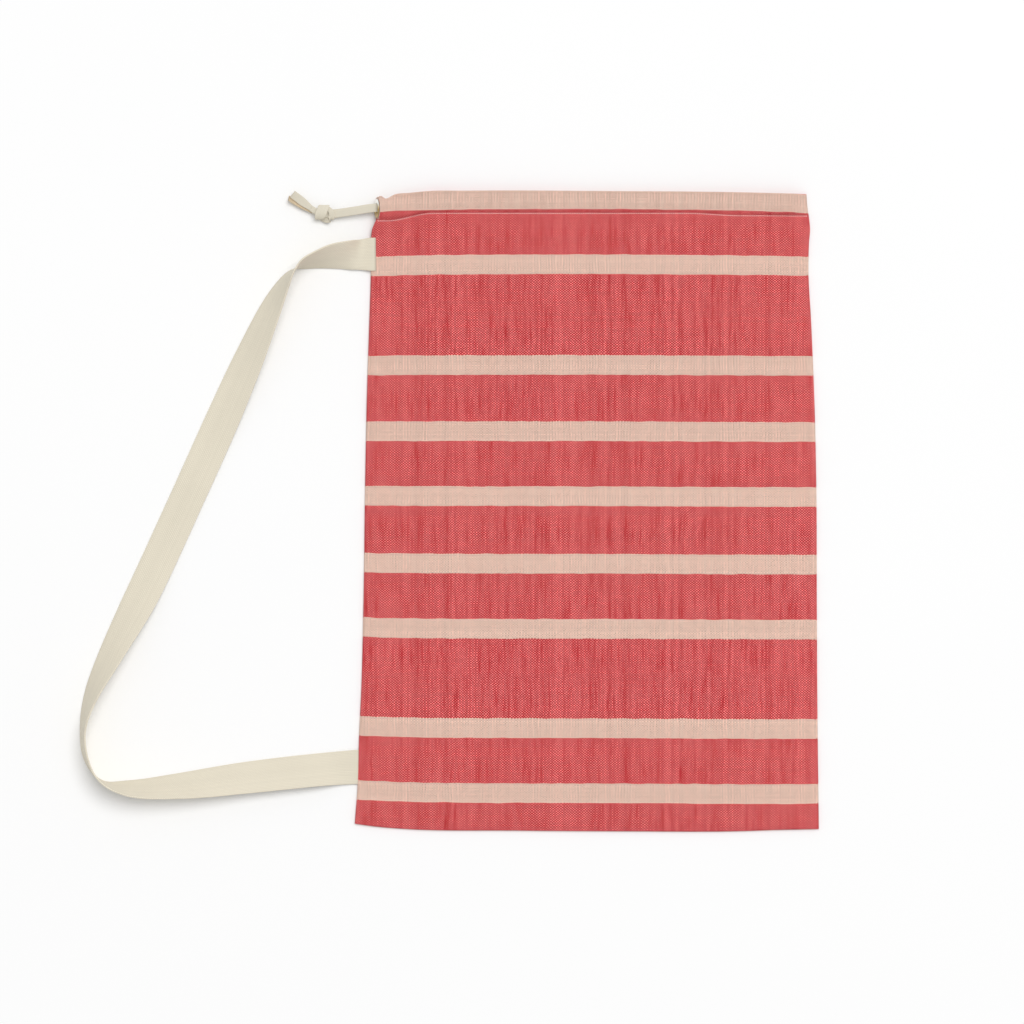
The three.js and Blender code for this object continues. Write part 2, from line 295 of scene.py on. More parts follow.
# ---- Small helpers for materials ----
class Nodes:
    """Builds one material's nodes with short calls."""

    def __init__(self, name):
        self.material = bpy.data.materials.new(name)
        self.material.use_nodes = True
        self.tree = self.material.node_tree
        self.shader = self.tree.nodes["Principled BSDF"]

    def put(self, socket, value):
        if isinstance(value, bpy.types.NodeSocket):
            self.tree.links.new(value, socket)
        elif socket.type == "RGBA":
            socket.default_value = (*value, 1)
        else:
            socket.default_value = value

    def node(self, kind, inputs=(), **settings):
        node = self.tree.nodes.new(kind)
        for name, value in settings.items():
            setattr(node, name, value)
        for key, value in dict(inputs).items():
            self.put(node.inputs[key], value)
        return node

    def math(self, operation, *values):
        return self.node("ShaderNodeMath", enumerate(values), operation=operation).outputs[0]

    def add(self, a, b):
        return self.math("ADD", a, b)

    def times(self, a, b):
        return self.math("MULTIPLY", a, b)

    def wave(self, turn):
        """Rounded ridges: the size of a sine."""
        return self.math("ABSOLUTE", self.math("SINE", turn))

    def odd(self, number):
        """1 for an odd whole number and 0 for an even one."""
        return self.times(self.math("FRACT", self.times(number, 0.5)), 2.0)

    def vector(self, x, y, z=0.0):
        return self.node("ShaderNodeCombineXYZ", enumerate((x, y, z))).outputs[0]

    def noise(self, vector, scale, detail=2.0):
        inputs = {"Vector": vector, "Scale": scale, "Detail": detail}
        return self.node("ShaderNodeTexNoise", inputs).outputs["Fac"]

    def random(self, value):
        """A fixed number from 0 to 1 for each value."""
        inputs = {"W": value}
        return self.node("ShaderNodeTexWhiteNoise", inputs, noise_dimensions="1D").outputs["Value"]

    def mix(self, factor, a, b, blend="MIX"):
        node = self.node("ShaderNodeMix", data_type="RGBA", blend_type=blend)
        self.put(node.inputs[0], factor)
        self.put(node.inputs[6], a)
        self.put(node.inputs[7], b)
        return node.outputs[2]

    def shaded(self, colour, light):
        """A colour times one number."""
        return self.mix(1.0, colour, self.vector(light, light, light), "MULTIPLY")

    def ramp(self, value, low, high, to_low=0.0, to_high=1.0):
        inputs = {"Value": value, "From Min": low, "From Max": high, "To Min": to_low, "To Max": to_high}
        return self.node("ShaderNodeMapRange", inputs, clamp=True).outputs["Result"]

    def spread(self, value, to_low, to_high):
        """A value from 0 to 1 made to run from to_low to to_high."""
        return self.ramp(value, 0.0, 1.0, to_low, to_high)

    def thread_coordinates(self):
        uv = self.node("ShaderNodeUVMap", uv_map="thread").outputs["UV"]
        split = self.node("ShaderNodeSeparateXYZ", {"Vector": uv})
        return split.outputs[0], split.outputs[1]

    def bump(self, height, distance, strength):
        inputs = {"Height": height, "Distance": distance, "Strength": strength}
        self.put(self.shader.inputs["Normal"], self.node("ShaderNodeBump", inputs).outputs["Normal"])

    def finish(self, colour, roughness, **shader_values):
        self.put(self.shader.inputs["Base Color"], colour)
        self.shader.inputs["Roughness"].default_value = roughness
        for name, value in shader_values.items():
            self.put(self.shader.inputs[name.replace("_", " ")], value)
        return self.material


# ---- Cloth: plain weave, red weft with light bands over a pale warp ----
WARP_PITCH = 0.0016
WEFT_PITCH = 0.00136
BAND_HALF = 10.9
BAND_MIDDLES = (-312.3, -241.0, -130.3, -58.0, 15.9, 88.3, 161.9, 272.9, 345.8)
RED_WEFT = (0.445, 0.005, 0.013)
PALE_WEFT = (0.785, 0.572, 0.470)
WARP_IN_RED = (0.88, 0.255, 0.250)
WARP_IN_PALE = (0.700, 0.430, 0.345)


def light_bands(nodes, weft_number):
    """1 in the light bands; whole weft threads are pale or red, so a band's edge follows them."""
    middle_of_weft = nodes.times(nodes.add(weft_number, 0.5), WEFT_PITCH)

    def in_band(middle):
        return nodes.math("COMPARE", middle_of_weft, middle * MM, BAND_HALF * MM)

    pale = in_band(BAND_MIDDLES[0])
    for middle in BAND_MIDDLES[1:]:
        pale = nodes.math("MAXIMUM", pale, in_band(middle))
    return pale


def warp_width(nodes, warp_number, own, y):
    """Half width of a warp thread as a share of the pitch. Slubs are stretches of thicker and
    thinner warp, a few threads wide and centimetres long."""
    place = nodes.vector(nodes.times(warp_number, 0.75), nodes.times(y, 22.0))
    slub = nodes.ramp(nodes.noise(place, 1.0, 3.0), 0.32, 0.68, 0.14, 0.70)
    return nodes.add(slub, nodes.times(own, 0.18))


def cloth_material():
    nodes = Nodes("striped_cloth")
    x, y = nodes.thread_coordinates()
    wander_x = nodes.ramp(nodes.noise(nodes.vector(x, y), 45.0), 0.2, 0.8, -0.7, 0.7)
    wander_y = nodes.ramp(nodes.noise(nodes.vector(y, x, 5.0), 60.0), 0.2, 0.8, -0.5, 0.5)
    warp = nodes.add(nodes.math("DIVIDE", x, WARP_PITCH), wander_x)
    weft = nodes.add(nodes.math("DIVIDE", y, WEFT_PITCH), wander_y)
    warp_number = nodes.math("FLOOR", warp)
    weft_number = nodes.math("FLOOR", weft)
    warp_on_top = nodes.odd(nodes.add(warp_number, weft_number))
    own = nodes.random(warp_number)
    crossing = nodes.add(nodes.times(warp_number, 7.31), nodes.times(weft_number, 3.77))
    own_of_crossing = nodes.random(crossing)

  # The oval part of a warp thread that shows where it passes over the weft.
    off_x = nodes.math("SUBTRACT", nodes.math("FRACT", warp), 0.5)
    off_y = nodes.math("SUBTRACT", nodes.math("FRACT", weft), 0.5)
    far_x = nodes.math("POWER", nodes.math("DIVIDE", off_x, warp_width(nodes, warp_number, own, y)), 2.0)
    far_y = nodes.math("POWER", nodes.math("DIVIDE", off_y, 0.55), 2.0)
    oval = nodes.ramp(nodes.add(far_x, far_y), 0.8, 1.2, 1.0, 0.0)
    shown = nodes.times(oval, warp_on_top)

    pale = light_bands(nodes, weft_number)
    weft_light = nodes.spread(nodes.random(weft_number), 0.90, 1.08)
    weft_colour = nodes.shaded(nodes.mix(pale, RED_WEFT, PALE_WEFT), weft_light)
    warp_light = nodes.times(nodes.spread(own, 0.82, 1.10), nodes.spread(own_of_crossing, 0.84, 1.16))
    warp_colour = nodes.shaded(nodes.mix(pale, WARP_IN_RED, WARP_IN_PALE), warp_light)
    colour = nodes.mix(shown, weft_colour, warp_colour)

  # Every other end is a shade darker, which shows as fine upright lines in the pale bands.
    line = nodes.spread(nodes.odd(warp_number), 1.035, 0.93)
    colour = nodes.mix(pale, colour, nodes.shaded(colour, line))

  # The casing is two plies thick; from it up the cloth is painted a little darker, as shade where the
  # light falls off towards the mouth.
    colour = nodes.shaded(colour, nodes.ramp(y, 0.328, 0.336, 1.0, 0.94))

  # Threads stand round; where they dive under each other the cloth is painted darker, as shade in the
  # hollows of the weave.
    hollow_x = nodes.times(nodes.math("ABSOLUTE", off_x), 2.0)
    hollow_y = nodes.times(nodes.math("ABSOLUTE", off_y), 2.0)
    hollow_shade = nodes.times(nodes.math("POWER", hollow_y, 3.0), nodes.math("POWER", hollow_x, 2.0))
    colour = nodes.shaded(colour, nodes.spread(hollow_shade, 1.0, 0.72))

    height = nodes.math("SUBTRACT", nodes.times(shown, 0.5), nodes.times(hollow_y, hollow_y))
    nodes.bump(height, distance=0.00012, strength=0.6)
    return nodes.finish(colour, 0.92, Sheen_Weight=0.08, Sheen_Roughness=0.5, Specular_IOR_Level=0.2)


# ---- Webbing and tape: cream cotton with ribs along its length ----
def ribbed_material(name, rib, pick, tone, groove, patch):
    """rib and pick are the spacings of the ribs and of the threads across them, groove is the
    light left between ribs, where they are painted darker as shade, and patch is how far broad patches
    stray from the tone."""
    nodes = Nodes(name)
    x, y = nodes.thread_coordinates()
    wander = nodes.ramp(nodes.noise(nodes.vector(x, y), 50.0), 0.2, 0.8, -0.3, 0.3)
    ribs = nodes.add(nodes.math("DIVIDE", x, rib), wander)
    number = nodes.math("FLOOR", ribs)
    picks = nodes.add(nodes.math("DIVIDE", y, pick), nodes.times(number, 0.5))
    round_rib = nodes.math("POWER", nodes.wave(nodes.times(ribs, math.pi)), 0.6)
    round_pick = nodes.spread(nodes.wave(nodes.times(picks, math.pi)), 0.45, 1.0)
    height = nodes.times(round_rib, round_pick)

    own = nodes.spread(nodes.random(number), 0.982, 1.012)
    fibre = nodes.noise(nodes.vector(nodes.times(x, 9.0), y), 160.0, 3.0)
    broad = nodes.ramp(nodes.noise(nodes.vector(x, y, 3.0), 14.0), 0.3, 0.7, 1.0 - patch, 1.0 + patch)
    # Painted shade: the grooves between ribs are darker; own, fibre and broad are the cotton's own tone.
    light = nodes.times(nodes.ramp(height, 0.0, 0.9, groove, 1.0), own)
    light = nodes.times(light, nodes.ramp(fibre, 0.25, 0.75, 0.975, 1.02))
    colour = nodes.shaded(tone, nodes.times(light, broad))
    nodes.bump(height, distance=0.0003, strength=0.55)
    return nodes.finish(colour, 0.88, Sheen_Weight=0.1, Sheen_Roughness=0.5, Specular_IOR_Level=0.25)


def thread_material():
    nodes = Nodes("sewing_thread")
    x, y = nodes.thread_coordinates()
    ply = nodes.wave(nodes.add(nodes.times(x, 5000.0), nodes.times(y, 9000.0)))
    # Painted shade: the grooves between the plies of the twist are darker.
    colour = nodes.shaded((0.95, 0.80, 0.78), nodes.spread(ply, 0.8, 1.05))
    nodes.bump(ply, distance=0.00008, strength=0.5)
    return nodes.finish(colour, 0.6)


EYELET_UV = 8.0  # thread coordinate of one radian round the eyelet


def brass_material():
    """Brass: golden, painted silvery on the upper side as a highlight of the bright room, and painted
    dark round the rim as shade.
    """
    nodes = Nodes("eyelet_brass")
    x, y = nodes.thread_coordinates()
    cloud = nodes.noise(nodes.vector(x, y), 420.0, 4.0)
    scratch = nodes.noise(nodes.vector(nodes.times(x, 3.0), nodes.times(y, 40.0)), 160.0)
    gold = nodes.mix(nodes.ramp(cloud, 0.35, 0.7), (0.50, 0.31, 0.09), (0.78, 0.60, 0.30))
    # Painted highlight: the side towards the mouth is made silvery, as the bright room reflected in it.
    turn = nodes.math("SINE", nodes.math("DIVIDE", x, EYELET_UV * MM))
    colour = nodes.mix(nodes.ramp(turn, 0.0, 0.5), gold, (0.90, 0.90, 0.87))
    # Painted shade: the rounded outer rim is darkened.
    rim = nodes.ramp(y, 0.0018, 0.0034, 1.0, 0.0)
    colour = nodes.mix(nodes.times(rim, 0.8), colour, (0.25, 0.25, 0.17))
    nodes.bump(scratch, distance=0.00004, strength=0.4)
    return nodes.finish(colour, 0.24, Metallic=1.0)


def floor_material(brightness):
    nodes = Nodes("studio_floor")
    place = nodes.node("ShaderNodeTexCoord").outputs["Object"]
    grain = nodes.ramp(nodes.noise(place, 3.0), 0.3, 0.7, brightness - 0.004, brightness)
    return nodes.finish(nodes.vector(grain, grain, grain), 0.95, Specular_IOR_Level=0.0)


# ---- Outline of the bag, seen from above ----
left_edge = through(
    [-347.3, -300, -255, -193, -100, 23, 140, 206, 258, 304, 312, 318, 324, 336, 349],
    [-104.2, -100.8, -99.6, -96.8, -94.5, -92.8, -90.4, -88.2, -86.5, -86, -84.8, -82.4, -79.6, -79, -78],
)
right_edge = through(
    [-353, -210, -99, 23, 123, 206, 273, 301, 312, 322, 338, 351.5],
    [409.9, 408.3, 407.7, 407.2, 405, 401.6, 398.4, 399.3, 400.2, 399.4, 397.2, 396.2],
)
bottom_edge = through(
    [-104.8, -80, -54, 79, 200, 323, 367, 409.9],
    [-346.6, -349.9, -352.0, -354.2, -355.0, -354.8, -353.4, -352.6],
)
top_edge = through(
    [-79, -75.4, -70.5, -60, -43, -27.7, 23, 167, 323, 396.2],
    [347.2, 348.6, 345.5, 350.4, 352.2, 353.8, 354.6, 354.2, 352.8, 351.0],
)
MOUTH_RIGHT = 396.4  # where the fold at the mouth meets the right seam
FOLD_RADIUS = 1.2


def insets(x, y):
    """Distances inwards from the left, the right and the bottom edge."""
    return x - left_edge(y), right_edge(y) - x, y - bottom_edge(x)


def stitch_line(x):
    """The line of stitches that closes the casing; it sinks a little towards both ends."""
    right_end = smooth((x - 265) / 60)
    left_end = 1 - smooth((x + 69) / 50)
    return 329.6 - 2.6 * right_end - 8.4 * left_end


def fold_radius(x):
    """Radius of the fold at the mouth, pressed flat where it meets the right seam."""
    return FOLD_RADIUS * lerp(0.15, 1, smooth((MOUTH_RIGHT - x) / 8))


# ---- The casing's left end, which the eyelet holds open ----
LEAN_UP = np.array([math.sin(EYELET_LEAN), 0, math.cos(EYELET_LEAN)])
LEAN_WIDE = np.array([0, 1, 0])
LEAN_OUT = np.array([-math.cos(EYELET_LEAN), 0, math.sin(EYELET_LEAN)])


def about_eyelet(up, wide, out):
    """Points from their distances along the three directions of the leaning eyelet."""
    up, wide, out = (a[..., None] for a in np.broadcast_arrays(up, wide, out))
    return EYELET + up * LEAN_UP + wide * LEAN_WIDE + out * LEAN_OUT


def end_arch(y):
    """Share of its half height that the open end has along its width."""
    return np.sqrt(np.maximum(1 - ((y - EYELET[1]) / END_HALF_WIDTH) ** 2, 0))


def end_rise(y):
    """How far the end's top stands above the eyelet's middle, and its bottom below it."""
    return END_HALF_HEIGHT * LEAN_UP[2] * end_arch(y)


def end_lean(y):
    """How far the end's top leans inwards, and its bottom outwards."""
    return END_HALF_HEIGHT * LEAN_UP[0] * end_arch(y)


def edge_lift(y):
    """How far the left seam climbs from the floor to the middle of the eyelet."""
    return (EYELET[2] - SEAM_HEIGHT) * smooth((y - 292) / 32)


# ---- Heights of the two panels ----
SEAM_TOP = 3.5  # height of the front beside a seam
BODY_HEIGHT = 8.2  # height of the front in the middle of the bag
SIDE_SLOPE = 75.0  # width of the slope between the two, along the sides
LOW_SLOPE = 65.0  # and along the bottom
ALLOWANCE = 0.35  # how much the seam allowances inside raise the front
ALLOWANCE_WIDTH = 9.5
LINE_LIFT = 1.5  # the tapes inside the casing lift the cloth beside its stitches
LINE_HEIGHT = 8.4  # the casing at its line of stitches
CASING_RISE = 4.4  # and its rise above that
MOUTH_OPEN_LEFT = 70.0  # how far the held-open end shapes the casing
SEAM_GAP = 0.1  # from the middle of a seam to each cloth's middle
FRONT_ROLL = 1.9  # radius of the front's edge at a seam
BACK_ROLL = 1.3
NEAR_LEFT = 30.0  # the seam's own rises reach no further than this from the left edge
STRAP_END_Y = -284  # middle of the strap's lower end


def strap_opening(y):
    """1 where the strap's lower end comes out between the two panels."""
    return 1 - smooth((np.abs(y - STRAP_END_Y) - 18) / 5)


def waves(x, y):
    """Soft unevenness of cloth that has been folded and smoothed out."""
    broad = 0.5 * np.sin(x / 61 + 1.3 * np.sin(y / 97)) * np.cos(y / 83 + 0.8)
    fine = 0.22 * np.sin(x / 23 + y / 41 + 2 * np.sin(y / 57 + x / 120))
    return broad + fine


def body_height(x, y):
    """The front below the casing: a low pillow, raised along the seams by their allowances."""
    left, right, low = insets(x, y)
    climb = smooth(left / SIDE_SLOPE) * smooth(right / SIDE_SLOPE) * smooth(low / LOW_SLOPE)
    near = np.minimum(np.minimum(left, right), low)
    allowance = ALLOWANCE * smooth((near - 1) / 3) * (1 - smooth((near - ALLOWANCE_WIDTH) / 3))
    return SEAM_TOP + allowance + (BODY_HEIGHT - SEAM_TOP + waves(x, y)) * climb


def line_relief(x, y):
    """Change of height near the line of stitches: lifted, puckered, and drawn in at the line."""
    left, right, _ = insets(x, y)
    gap = y - stitch_line(x)
    lift = LINE_LIFT * np.exp(np.minimum(gap, 0) / 16) * smooth(left / 30) * smooth(right / 30)
    pucker = 0.22 * np.sin(x / 1.15 + 1.5 * np.sin(x / 6.1)) * np.exp(-np.abs(gap) / 4.5)
    return lift + pucker - 0.5 * np.exp(-(gap / 2.2) ** 2)


def casing_height(x, y):
    """Top of the casing between its stitch line and the folded edge, arched at the open end."""
    left, right, _ = insets(x, y)
    line = stitch_line(x)
    share = np.clip((y - line) / (top_edge(x) - line), 0, 0.9)
    height = LINE_HEIGHT + CASING_RISE * np.sin(math.pi * share) ** 0.4
    ruffle = 0.25 * np.sin(x / 2.3 + 1.7 * np.sin(x / 9)) * np.sin(math.pi * share)
    casing = lerp(SEAM_TOP, height + ruffle, smooth(right / 18))
    held_open = (1 - smooth(left / MOUTH_OPEN_LEFT)) ** 1.25
    return np.maximum(lerp(casing, EYELET[2] + end_rise(y), held_open), SEAM_TOP)


def front_height(x, y):
    """Height of the middle of the front cloth away from its rolled edges."""
    left = x - left_edge(y)
    climb_to_eyelet = edge_lift(y) * (1 - smooth(left / 58)) ** 1.3
    body = body_height(x, y) + line_relief(x, y) + climb_to_eyelet
    above_line = smooth((y - stitch_line(x) - 0.4) / 2.4)
    return lerp(body, casing_height(x, y), above_line)


def front_surface(x, y):
    """The front cloth with its edges rolled down to the seams."""
    left, right, low = insets(x, y)
    in_end = y > EYELET[1] - END_HALF_WIDTH
    rolled_left = np.where(in_end, 1.0, round_over(left, FRONT_ROLL))
    roll = round_over(right, FRONT_ROLL) * round_over(low, FRONT_ROLL) * rolled_left
    edge_rise = (edge_lift(y) + 1.6 * strap_opening(y)) * (left < NEAR_LEFT)
    return lerp(SEAM_HEIGHT + SEAM_GAP + edge_rise, front_height(x, y), roll)


def back_surface(x, y):
    """The back cloth: flat on the floor, its edges turned up to the seams."""
    left, right, low = insets(x, y)
    end_climb = edge_lift(y) - end_rise(y)
    lifted = (1 - smooth(left / 34)) ** 1.2
    flat = np.maximum(BACK_LIE + end_climb * lifted, BACK_LIE)
    groove = 0.3 * np.exp(-((y - stitch_line(x)) / 2.2) ** 2)
    roll = round_over(right, BACK_ROLL) * round_over(low, BACK_ROLL) * round_over(left, BACK_ROLL)
    edge_rise = (end_climb - 0.75 * strap_opening(y)) * (left < NEAR_LEFT)
    return lerp(SEAM_HEIGHT - SEAM_GAP + edge_rise, flat + groove, roll)


def near_line(x, y):
    """1 at the line of stitches, falling off into the casing."""
    return np.exp(-np.maximum(y - stitch_line(x), 0) / 2.5)


def front_inner(x, y):
    """Height of the front's turned ply: below the tapes, and held at the stitch line."""
    outer = front_height(x, y)
    drop = lerp(4.9, 1.5, near_line(x, y))
    return outer - np.minimum(drop, 0.45 * (outer - SEAM_HEIGHT))


def back_inner(x, y):
    """Height of the back's turned ply, pressed flat at the right seam."""
    room = lerp(0.32, 1, smooth((right_edge(y) - x) / 18))
    return back_surface(x, y) + lerp(2.5, 1.1, near_line(x, y)) * room


# ---- Stripes bend where the cloth is pulled in towards the side seams ----
left_pull = through([-312, -240, -100, 100, 273, 345], [3.8, 2.8, 1.5, 0, -2.6, -4.2])
right_pull = through([-100, 100, 273, 345], [0, 0, -1, -4.5])


def cloth_thread(x, y):
    """How far up the cloth, along its warp, a place on the outer side is."""
    left = np.maximum(x - left_edge(y), 0)
    right = np.maximum(right_edge(y) - x, 0)
    bend = left_pull(y) * np.exp(-left / 55) + right_pull(y) * np.exp(-right / 60)
    drift = 0.9 * smooth((x - 150) / 220)
    return y - bend + drift


# ---- The two panels ----
CASING_SHARE = 0.93  # the casing's rows start at this share of the height
BACK_WARP_FROM = 1700.0  # warp coordinate of the back, so that its slubs are other ones


def panel_grid():
    """Shares of a panel's width and height, closer in the casing and beside the seams."""
    across = crowded(500, 2.6)
    up = crowded(705, 4.0)
    casing_rows = np.linspace(CASING_SHARE + 0.002, 1, 52)
    return np.meshgrid(across, np.concatenate([up[up < CASING_SHARE], casing_rows]))


def cloth_rows(x, y, z, thread):
    """Rows of places, each followed by its thread coordinates."""
    x, y, z, thread = np.broadcast_arrays(x, y, z, thread)
    return np.stack([x, y, z, x, thread], axis=2)


def panel(surface, inner_height, side):
    """Grid of points and thread coordinates of one panel: the outer cloth, the fold at the
    mouth, and the turned ply inside the casing. side is 1 for the front and -1 for the back."""
    u, v = panel_grid()
    x = lerp(-90, 400, u)
    for _ in range(6):
        y = lerp(bottom_edge(x), top_edge(x) - fold_radius(x), v)
        x = lerp(left_edge(y) + side * end_lean(y), right_edge(y), u)
    outer = cloth_rows(x, y, surface(x, y), cloth_thread(x, y))

    fold_x, fold_y, fold_z, _, fold_thread = outer[-1].T
    turns = np.linspace(0, math.pi, 9)[1:, None]
    radius = fold_radius(fold_x)
    turn_z = fold_z - side * radius * (1 - np.cos(turns))
    turn_y = fold_y + radius * np.sin(turns)
    turned = cloth_rows(fold_x, turn_y, turn_z, fold_thread + FOLD_RADIUS * turns)

    drop = np.linspace(0, 1, 10)[1:, None]
    inner_y = lerp(fold_y, np.minimum(stitch_line(fold_x) - 3.5, fold_y - 6), drop)
    inner_z = lerp(turn_z[-1], inner_height(fold_x, inner_y), smooth(drop / 0.25))
    inner_thread = fold_thread + FOLD_RADIUS * math.pi + (fold_y - inner_y)
    inner = cloth_rows(fold_x, inner_y, inner_z, inner_thread)
    rows = np.concatenate([outer, turned, inner])
    return rows[..., :3], rows[..., 3:]


def build_panels(material):
    points, uvs = panel(front_surface, front_inner, 1)
    front = add_cloth("front_cloth", points, uvs, material)
    points, uvs = panel(back_surface, back_inner, -1)
    uvs = uvs * np.array([-1, 1]) + np.array([BACK_WARP_FROM, 0])
    back = add_cloth("back_cloth", points[:, ::-1], uvs[:, ::-1], material)
    return front, back


def build_casing_end(material):
    """The cloth that closes the left end of the casing, with the eyelet's hole in it: a flat
    face round the hole, then a rim that turns in under the panels."""
    hole = EYELET_HOLE + 0.6
    rings = np.concatenate([np.linspace(0, 1, 9), [1.0, 1.0, 0.97, 0.93]])[:, None]
    depth = np.concatenate([0.25 * np.cos(np.linspace(0, math.pi / 2, 9)), [-0.5, -1.2, -2.2, -3.2]])
    angles = np.linspace(0, 2 * math.pi, 72, endpoint=False)
    up = lerp(hole, END_HALF_HEIGHT, rings) * np.cos(angles)
    wide = lerp(hole, END_HALF_WIDTH, rings) * np.sin(angles)
    pleat = 0.3 * np.sin(9 * angles + 1) * smooth(rings * 1.6 - 0.6) * (rings >= 0.5)
    points = about_eyelet(up, wide, depth[:, None] + pleat)
    uvs = np.stack([-80 + up, 345 + 0.25 * wide], axis=2)
    return add_cloth("casing_end_cloth", points, uvs, material, wrap=True)


# ---- Eyelet ----
def build_ring(name, profile, material):
    """A ring turned round the eyelet's axis from (radius, height) points, closed."""
    profile = np.array(profile + profile[:1])
    radius, height = profile[:, 0][:, None], profile[:, 1][:, None]
    angles = np.linspace(0, 2 * math.pi, 96, endpoint=False)
    points = about_eyelet(radius * np.cos(angles), radius * np.sin(angles), height)
    step = np.arange(len(profile))[:, None] * 0.6
    uvs = np.stack(np.broadcast_arrays(angles[None, :] * EYELET_UV, step), axis=2)
    obj = add_grid(name, points, uvs, grid_faces(len(profile), len(angles), wrap=True), material)
    weld = obj.modifiers.new("close", "WELD")
    weld.merge_threshold = 0.00001
    return obj


def build_flange(material):
    """The eyelet's front: a rounded rim, a low crown, and a lip that runs through the hole and
    curls over behind the cloth."""
    face = 0.65
    rim = 0.35
    lip = EYELET_HOLE + 0.9
    curl = 0.75
    profile = [(EYELET_RIM - rim + rim * math.cos(a), face + rim + rim * math.sin(a))
               for a in np.linspace(-math.pi / 2, math.pi / 3, 6)]
    profile += [(lerp(EYELET_RIM - 0.6, lip, t), face + 0.68 + 0.5 * math.sin(math.pi * t * 0.85))
                for t in np.linspace(0.05, 0.95, 9)]
    profile += [(lip - 0.9 * math.sin(a), face - 0.05 + 0.95 * math.cos(a))
                for a in np.linspace(math.pi / 6, math.pi / 2, 5)]
    profile += [(EYELET_HOLE + curl - curl * math.cos(a), -2.0 - 0.45 * math.sin(a))
                for a in np.linspace(0, math.pi, 6)]
    profile += [
        (EYELET_HOLE + 1.9, -1.75),
        (EYELET_HOLE + 0.6, -1.6),
        (EYELET_HOLE + 0.6, face - 0.1),
        (EYELET_HOLE + 1.2, face),
    ]
    return build_ring("eyelet_flange", profile, material)


def build_backing(material):
    """The flat washer behind the cloth, its edges bevelled."""
    inner, outer, low, high = EYELET_HOLE + 0.9, EYELET_RIM - 0.3, -1.5, -0.7
    return build_ring("eyelet_backing", [
        (inner, low + 0.15), (inner + 0.15, low), (outer - 0.2, low), (outer, low + 0.2),
        (outer, high - 0.2), (outer - 0.2, high), (inner + 0.15, high), (inner, high - 0.15),
    ], material)


# ---- Stitches ----
STITCH_PITCH = 2.45
STITCH_LENGTH = 1.3
STITCH_UV_STEP = 2.35  # how much further along the thread each next stitch is
SEAM_INSET = 3.2  # the seams' stitches lie this far inside the edges


def add_stitches(name, places, directions, ups, radius, material):
    """Short threads: each is a capsule that dives into the cloth at both ends."""
    rings = np.array([-1, -0.86, -0.5, 0, 0.5, 0.86, 1.0])
    sizes = radius * np.array([0.25, 0.7, 0.97, 1, 0.97, 0.7, 0.25])
    sink = -0.9 * radius * np.abs(rings) ** 3
    angles = np.linspace(0, 2 * math.pi, 8, endpoint=False)
    around, upward = np.cos(angles)[:, None], np.sin(angles)[:, None]
    sides = np.cross(ups, directions)
    count = len(angles)
    last = (len(rings) - 1) * count
    ends = [tuple(range(count))[::-1], tuple(range(last, last + count))]
    block = grid_faces(len(rings), count, wrap=True) + ends

    number = np.arange(len(places))[:, None]
    along, up = rings[:, None] * (STITCH_LENGTH / 2), sink[:, None]
    middles = places[:, None] + along * directions[:, None] + up * ups[:, None]
    circles = around * sides[:, None, None] + upward * ups[:, None, None]
    points = middles[:, :, None] + circles * sizes[:, None, None]
    thread = rings * STITCH_LENGTH + number * STITCH_UV_STEP
    uvs = np.stack(np.broadcast_arrays(thread[:, :, None], angles * radius), axis=3)
    firsts = range(0, len(places) * len(rings) * count, len(rings) * count)
    faces = [tuple(first + k for k in face) for first in firsts for face in block]
    return add_grid(name, points, uvs, faces, material)


def line_of_stitches(name, x, y, z, material, radius=0.52):
    """Stitches along a route, evenly spaced and lying on its upper side."""
    route = rows_of(x, y, z)
    run = run_along(route)
    at = np.arange(1.0, run[-1] - 1.0, STITCH_PITCH)
    along = np.gradient(route, axis=0)
    places = np.stack([np.interp(at, run, column) for column in route.T], axis=1)
    directions = unit(np.stack([np.interp(at, run, column) for column in along.T], axis=1))
    ups = unit(square_to(np.array([0, 0, 1]), directions))
    return add_stitches(name, places, directions, ups, radius, material)


def build_stitches(material):
    steps = 900
    x = np.linspace(-79, 398, steps)
    y = stitch_line(x)
    front = line_of_stitches("front_casing_stitches", x, y, front_surface(x, y) + 0.62, material)
    x = np.linspace(-60, 394, steps)
    y = stitch_line(x)
    back = line_of_stitches("back_casing_stitches", x, y, back_surface(x, y) + 1.46, material, 0.2)

    y = np.linspace(-344, 318, steps)
    left_height = SEAM_HEIGHT + edge_lift(y) + 0.6 * strap_opening(y)
    x = np.linspace(-100, 405, steps)
    return [
        front,
        back,
        line_of_stitches("left_seam_stitches", left_edge(y) + SEAM_INSET, y, left_height, material),
        line_of_stitches("right_seam_stitches", right_edge(y) - SEAM_INSET, y, SEAM_HEIGHT, material),
        line_of_stitches("bottom_seam_stitches", x, bottom_edge(x) + SEAM_INSET, SEAM_HEIGHT, material),
    ]


# ---- Drawstring ----
STRAND_RISE = 0.75  # each strand's distance from the middle between the two
RUN_WIDTH = 7.4  # the tape crumples a little narrower inside the casing
CASING_RUN_Y = 340
CASING_RUN_TURN = 382  # where the run comes round from the front to the back


def flat_tape(name, route, material, steps, width, thickness):
    """A tape along a route of points, its width level. Its object, its middle line and length."""
    middles, length = spline(route, steps)
    along = np.gradient(middles, axis=0)
    level = rows_of(-along[:, 1], along[:, 0], 0.0) * np.sign(along[:, :1])
    return add_ribbon(name, middles, level, width, thickness, material), middles, length


def build_strands(material):
    """The two free lengths from the eyelet to the knot, one on top of the other."""
    strands = []
    for name, lift in (("upper", STRAND_RISE), ("lower", -STRAND_RISE)):
        route = [
            (-74.3, 336, 11.2 + lift),
            (-86, 335.4, 11.2 + lift),
            (-104, 332.6, 9.4 + lift),
            (-127, 329.6, 6.6 + lift),
            (-137, 329.4, 6.4 + lift),
        ]
        name = "drawstring_" + name + "_end"
        strands.append(flat_tape(name, route, material, 40, TAPE_WIDTH, TAPE_THICKNESS))
    return strands


